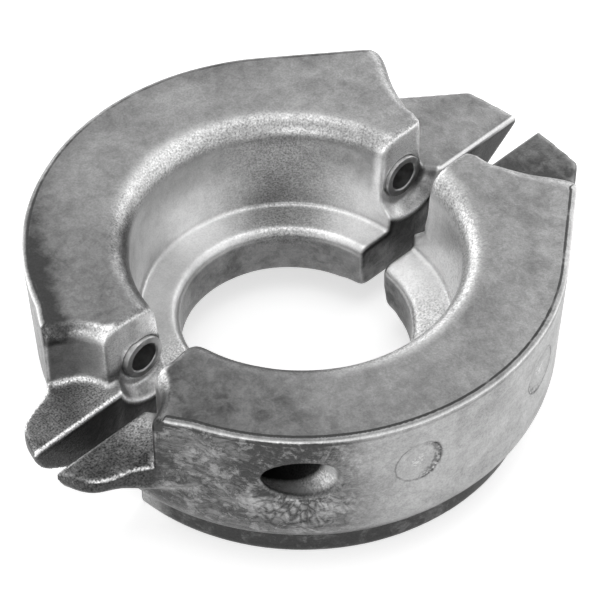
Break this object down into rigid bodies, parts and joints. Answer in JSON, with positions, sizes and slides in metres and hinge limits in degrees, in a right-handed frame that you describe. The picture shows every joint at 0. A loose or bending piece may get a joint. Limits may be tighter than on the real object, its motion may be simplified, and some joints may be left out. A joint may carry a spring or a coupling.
{
  "type": "sacrificial anode",
  "caption": "Split-ring sacrificial anode in cast zinc halves, with a stepped bore, a bell mouth, recessed screw bushes, and a flat lug and a rounded lug on the split line.",
  "frame": {"origin": "on the ring axis, midway between the halves, at the collar's rim, which is the lowest face", "axes": "+Z along the ring axis from the collar to the bell mouth, the split plane is y = 0, +X towards the flat lug"},
  "size_m": [0.1807, 0.1466, 0.0533],
  "materials": {
    "cast_zinc": "as cast, matt, with a fine grain and faint flow marks",
    "bush_steel": "turned, dull"
  },
  "bodies": {
    "root": {"zinc_half_a": "cast_zinc", "zinc_half_b": "cast_zinc", "wing_bush_a": "bush_steel", "wing_bush_b": "bush_steel", "horn_bush_a": "bush_steel", "horn_bush_b": "bush_steel"}
  },
  "joints": []
}
